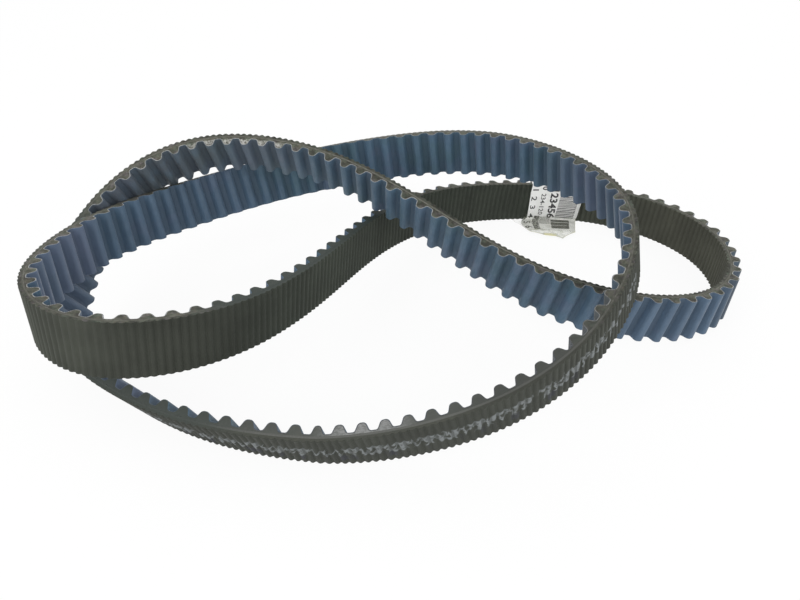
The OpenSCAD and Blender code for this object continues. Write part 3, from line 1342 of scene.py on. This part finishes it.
@dataclass
class BeltLabel:
    """Paper label wrapped over the belt, its foot turned out, printed and held by clear tape."""

    route: Route
    share: float = 0.7873
    lean: float = 0.11
    flare: float = 1.6
    length: float = 29.0
    paper_t: float = 0.15
    ink_t: float = 0.03
    gap: float = 0.05
    foot_reach: float = 12.0
    foot_rise: float = 0.55
    foot_wave: float = 0.16
    loose_end: float = 1.3
    loose_from: float = 0.10
    loose_share: float = 0.07
    tape_t: float = 0.1
    tape_h: float = 5.0
    tape_reach: float = 18.0
    tape_ends: tuple[float, float] = (0.02, 1.18)

    def section(self, q: Array, lift: float, turn_out: float) -> tuple[Array, Array]:
        """Line of a sheet across the belt, by the distance from the fold at its foot.

        Args:
            q: Distances: below 0 out over the floor, above 0 up the back, over and down.
            lift: Distance of the sheet's outer face from the belt.
            turn_out: Height at which the part on the floor lies.

        Returns:
            Heights over the pitch line and distances across the belt.
        """
        sizes, ahead = self.route.sizes, 30.0
        half = sizes.width / 2
        back, top, teeth = -sizes.back_side - lift, half + lift, sizes.tooth_side + lift
        floor = -half + turn_out
        line = filleted(
            [
                (back - ahead, floor, 0.0),
                (back, floor, 0.6),
                (back, top, 0.5),
                (teeth, top, 0.5),
                (teeth, -half + 0.2, 0.0),
            ],
            6,
        )
        line = np.array(line + [(teeth, -half + 0.2)])
        run = run_along(line) - ahead
        return np.interp(q, run, line[:, 0]), np.interp(q, run, line[:, 1])

    def on_sheet(self, x: Array, q: Array, lift: float, out: float) -> Array:
        """Points on a sheet.

        Args:
            x: Shares along the label, 0 at its loose end.
            q: Distances from the fold at the foot.
            lift: Distance from the belt.
            out: Height of the part on the floor.

        Returns:
            Points in millimetres.
        """
        h, v = (part.reshape(q.shape) for part in self.section(q.ravel(), lift, out))
        width = self.route.sizes.width
        # the loose end curls off the back, and the foot rises and waves towards its own end
        wrapped = (q > 0.5) & (q < width - 0.5)
        curl = self.loose_end * np.clip((self.loose_from - x) / self.loose_share, 0, 1) ** 1.6
        h = h - curl * wrapped * np.clip(q / 3.0, 0, 1)
        flap = np.clip(-q / self.foot_reach, 0, 1.6)
        v = v + self.foot_rise * flap**2 + self.foot_wave * np.sin(x * 9.0 + 0.6) * flap
        inside = np.clip(x, 0, 1)
        aside = self.flare * inside**2 * np.clip(-q / 4.0, 0, 1) - self.lean * np.clip(q, 0, width)
        # the far end is pulled outwards on the floor and inwards above the fold
        pull = np.interp(q, [-4.0, -0.6, 0.4, 8.0, 16.0], [0.8, 0.8, -1.4, -0.8, 0.0])
        aside = aside + inside**6 * pull
        middle = self.share * self.route.sizes.length
        return self.route.place(middle + (x - 0.5) * self.length + aside, h, v)

    def paper(self) -> Piece:
        """Builds the paper.

        Returns:
            The piece.
        """
        # finer steps where the paper bends
        foot = ((-self.foot_reach, -0.7, 14), (-0.5, 0.7, 7))
        wrap = ((1.2, 20.0, 20), (20.4, 22.0, 9), (22.4, 26.2, 5), (26.5, 28.0, 9), (29.0, 47.6, 14))
        q = np.concatenate([np.linspace(*part) for part in foot + wrap])
        grid_x, grid_q = np.meshgrid(np.linspace(0.026, 1, 57), q, indexing="ij")
        # the torn end of the foot is uneven, and one corner is gone
        ragged = 0.35 * np.sin(grid_x * 21.0) + 0.25 * np.sin(grid_x * 47.0 + 1.0)
        kept = np.interp(grid_x, [0.0, 0.06, 0.5, 0.92, 1.0], [0.95, 1.0, 1.04, 1.12, 0.55])
        grid_q = np.where(grid_q < -1.0, grid_q * kept * (1 + ragged / 12.0), grid_q)
        grid = self.on_sheet(grid_x, grid_q, self.gap + self.paper_t, 2 * self.paper_t)
        return thin_sheet("paper_label_sheet", grid, self.paper_t)

    def tape(self) -> Piece:
        """Builds the tape over the label's foot.

        Returns:
            The piece.
        """
        first, last = self.tape_ends
        x = np.concatenate([np.linspace(first, 0.995, 58), np.linspace(1.005, last, 10)])
        t = np.concatenate([np.linspace(0, 0.25, 8)[:-1], np.linspace(0.25, 1, 26)])
        grid_x, grid_t = np.meshgrid(x, t, indexing="ij")
        # the torn outline: how far the tape reaches out at shares along the label
        shares = [0.02, 0.22, 0.31, 0.35, 0.45, 0.70, 0.94, 1.04, 1.18]
        reach = [0.75, 1.06, 1.21, 1.16, 1.08, 1.08, 0.82, 0.36, 0.09]
        out = self.tape_reach * np.interp(x, shares, reach)
        up = np.interp(x, [0.995, 1.005], [self.tape_h, -0.6])
        deep = (up + out)[:, None]
        grid_q = up[:, None] - grid_t * deep
        lift = self.gap * 2 + self.paper_t + self.tape_t
        grid = self.on_sheet(grid_x, grid_q, lift, lift + self.paper_t + 0.05)
        near_end = np.minimum(grid_x - first, last - grid_x) * self.length
        rim = np.minimum(np.where(grid_t > 0.5, (1 - grid_t) * deep, 9.0), near_end)
        lay = np.stack([grid_x * self.length, grid_q, rim], axis=-1)
        return thin_sheet("clear_label_tape", grid, self.tape_t, lay)

    def stamp(self, name: str, outlines: Sequence[Print]) -> Piece:
        """Lays flat print on the paper.

        Args:
            name: Name of the piece.
            outlines: Points as millimetres along and up the label, with their faces.

        Returns:
            The piece.
        """
        points = np.concatenate([rows for rows, _ in outlines])
        starts = np.cumsum([0] + [len(rows) for rows, _ in outlines[:-1]])
        faces = np.concatenate([rows + start for start, (_, rows) in zip(starts, outlines)])
        lift, out = self.gap + self.paper_t + self.ink_t, 2 * self.paper_t + self.ink_t
        return add_mesh(name, self.on_sheet(points[:, 0] / self.length, points[:, 1], lift, out), faces)

    def print_on(self) -> list[Piece]:
        """Lays the print: figures in three columns, bars beside them and a block of bars on the foot.

        Returns:
            The printed pieces.
        """
        columns = [
            Figures("123456", size=4.4, x=28.1, q=18.9, stretch=1.3, weight=0.07, spacing=1.84),
            Figures("0", size=4.4, x=23.0, q=19.6, stretch=1.0, weight=0.12),
            Figures("234-120", size=3.5, x=22.8, q=15.3, stretch=1.12, weight=0.05, slant=0.04),
            Figures("123456", size=5.5, x=17.8, q=18.8, stretch=1.13, weight=0.17, slant=0.06),
        ]
        block = [(-10.1, 3.3), (-6.5, 3.1), (-3.0, 2.4)]
        code = np.arange(14.9, 20.6, 0.4)
        prints = {
            "label_figures": [column.outline() for column in columns],
            "label_bars": Patch(2.3, 12.3, 0.9, 17.4).bars(seed=4, fill=0.52),
            "label_bar_block": [Patch(4.1, 14.3, low, low + tall).strip() for low, tall in block],
            "label_code": [Patch(x, x + 0.16, -5.6, 1.0).strip() for x in code],
            # a mottled block of dark squares on the foot
            "label_foot_dark_block": Patch(20.9, 24.0, -11.6, 1.6).cells(seed=5, fill=0.82),
        }
        return [self.stamp(name, outlines) for name, outlines in prints.items()]

    def build(self) -> list[Piece]:
        """Builds the label with its print and tape.

        Returns:
            The pieces.
        """
        paper, tape, prints = self.paper(), self.tape(), self.print_on()
        paper.data.materials.append(LabelPaper().make("label_paper"))
        tape.data.materials.append(ClearTape().make("clear_tape"))
        ink = PrintInk().make("label_print")
        for piece, node, slot in ((paper, "paper_label", "label_paper"), (tape, "label_tape", "clear_tape")):
            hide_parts(node)
        for piece in prints:
            piece.data.materials.append(ink)
        for piece in [paper, tape, *prints]:
            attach(piece, "root")
        return [paper, tape, *prints]


# --- Studio ---


def seen(board: Board) -> Wire:
    """Mask of what is looked at directly, in a reflection or through clear film.

    Args:
        board: The board of a material or of the surround.

    Returns:
        1 for such rays.
    """
    rays = board.add("LightPath").outputs
    kinds = ("Camera", "Glossy", "Transmission")
    camera, glossy, clear = (Wire(board, rays[f"Is {kind} Ray"]) for kind in kinds)
    return camera.larger(glossy).larger(clear)


@dataclass(frozen=True)
class FloorPaint(Finish):
    """Matt white that stays white to look at, and keeps a faint shadow."""

    white: Colour = (0.86, 0.86, 0.86)
    glow: float = 0.20
    glow_seen: float = 0.72

    def paint(self, board: Board) -> Wire:
        """Lays the nodes.

        Args:
            board: The material's board.

        Returns:
            The shader.
        """
        matt = board.surface(Base_Color=self.white, Roughness=0.9, Specular_IOR_Level=0.2)
        light = board.node("Emission", {}, {"Color": WHITE, "Strength": 1.0})
        return board.node("MixShader", {}, {0: seen(board) * self.glow_seen + self.glow, 1: matt, 2: light})


@dataclass(frozen=True)
class Lamp:
    """A soft rectangular lamp aimed at the belt."""

    name: str
    place: tuple[float, float, float]
    size: float
    power: float
    colour: Colour = WHITE

    def build(self) -> None:
        """Hangs the lamp."""
        light = bpy.data.lights.new(self.name, "AREA")
        light.shape = "SQUARE"
        light.size = self.size
        light.energy = self.power
        light.color = self.colour
        lamp = linked(self.name, light)
        lamp.location = self.place
        lamp.rotation_euler = (-Vector(self.place)).to_track_quat("-Z", "Y").to_euler()


@dataclass(frozen=True)
class Studio:
    """White floor, white surround, soft lamps and the camera."""

    ambient: float = 0.90
    floor_half: float = 2500.0
    lamps: tuple[Lamp, ...] = (
        Lamp("key_lamp", (-0.75, -0.75, 0.75), 0.9, 6.5),
        Lamp("front_lamp", (0.80, -0.75, 0.45), 0.9, 4.6),
        Lamp("rim_lamp", (0.15, 0.85, 0.60), 0.6, 1.1),
    )
    eye: tuple[float, float, float] = (-0.00588, -0.22520, 0.18876)
    tilt: float = 51.39
    lens: float = 29.26
    sensor: float = 36.0
    nearest: float = 0.01

    def world(self) -> None:
        """Makes the surround: white to look at, a plain soft light on the belt."""
        world = bpy.data.worlds.new("soft_surround")
        board = Board(world)
        strength = seen(board) * (1.0 - self.ambient) + self.ambient
        light = board.node("Background", {}, {"Color": WHITE, "Strength": strength})
        board.add("OutputWorld", {}, {"Surface": light})
        bpy.context.scene.world = world

    def floor(self) -> None:
        """Lays the white floor."""
        half = self.floor_half
        points = np.array([(-half, -half, 0), (half, -half, 0), (half, half, 0), (-half, half, 0)])
        floor = add_mesh("white_floor", points, np.array([(0, 1, 2, 3)]))
        floor.data.materials.append(FloorPaint().make("white_floor"))

    def camera(self) -> None:
        """Places the camera in front of the belt, looking down at it."""
        made = bpy.data.cameras.new("camera")
        made.lens = self.lens
        made.sensor_width = self.sensor
        made.clip_start = self.nearest
        camera = linked("camera", made)
        camera.location = self.eye
        camera.rotation_euler = (math.radians(self.tilt), 0.0, 0.0)
        bpy.context.scene.camera = camera

    def build(self) -> None:
        """Sets up the whole studio."""
        self.world()
        self.floor()
        for lamp in self.lamps:
            lamp.build()
        self.camera()
        bpy.context.scene.view_settings.view_transform = "Standard"


def main() -> None:
    """Builds the belt, its label and the studio, and logs the pieces' face counts."""
    logging.basicConfig(level=logging.INFO)
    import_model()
    route = Route(BeltSizes())
    for assembly in (BeltBand(route), BeltLabel(route)):
        for piece in assembly.build():
            LOG.info("%s: %d faces", piece.name, len(piece.data.polygons))
    studio = Studio()
    studio.build()
    LOG.info("studio: floor, camera and %d lamps", len(studio.lamps))
    bpy.context.view_layer.update()
    LOG.info("sizes written")


if __name__ == "__main__":
    main()
